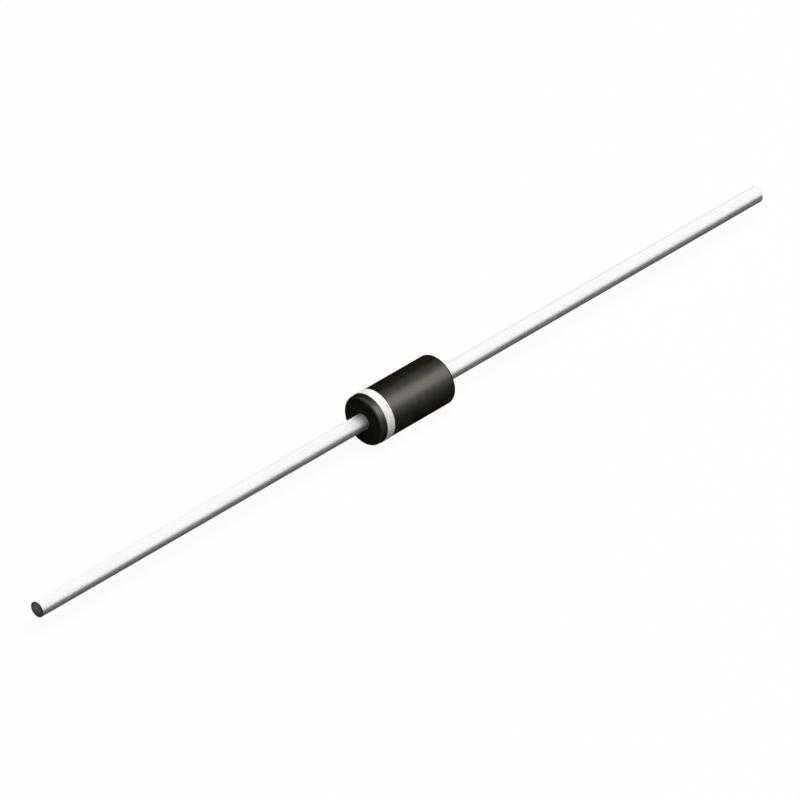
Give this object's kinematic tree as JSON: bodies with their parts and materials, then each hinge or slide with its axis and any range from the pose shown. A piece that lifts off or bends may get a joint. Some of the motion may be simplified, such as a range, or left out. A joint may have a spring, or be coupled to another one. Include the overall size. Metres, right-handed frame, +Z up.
{
  "type": "axial rectifier diode",
  "caption": "Axial-lead rectifier diode: black moulded cylinder with a white cathode ring and a straight tinned wire out of each end.",
  "frame": {"origin": "centre of the moulded body, on the axis that both leads share", "axes": "+X along the leads, from the banded cathode end towards the anode end; +Z up; the part is round about X"},
  "size_m": [0.0504, 0.0028, 0.0028],
  "materials": {
    "epoxy": "black moulded epoxy, satin",
    "band_ink": "off-white printed ink, satin",
    "tinned_wire": "tin over drawn copper wire, semi-bright",
    "solder": "solder, dull",
    "silicon": "etched silicon, grey",
    "silicone": "milky silicone, smooth"
  },
  "bodies": {
    "root": {"epoxy_body": "epoxy", "cathode_band": "band_ink", "cathode_lead": "tinned_wire", "anode_lead": "tinned_wire", "cathode_solder": "solder", "anode_solder": "solder", "silicon_die": "silicon", "junction_coating": "silicone"}
  },
  "joints": []
}
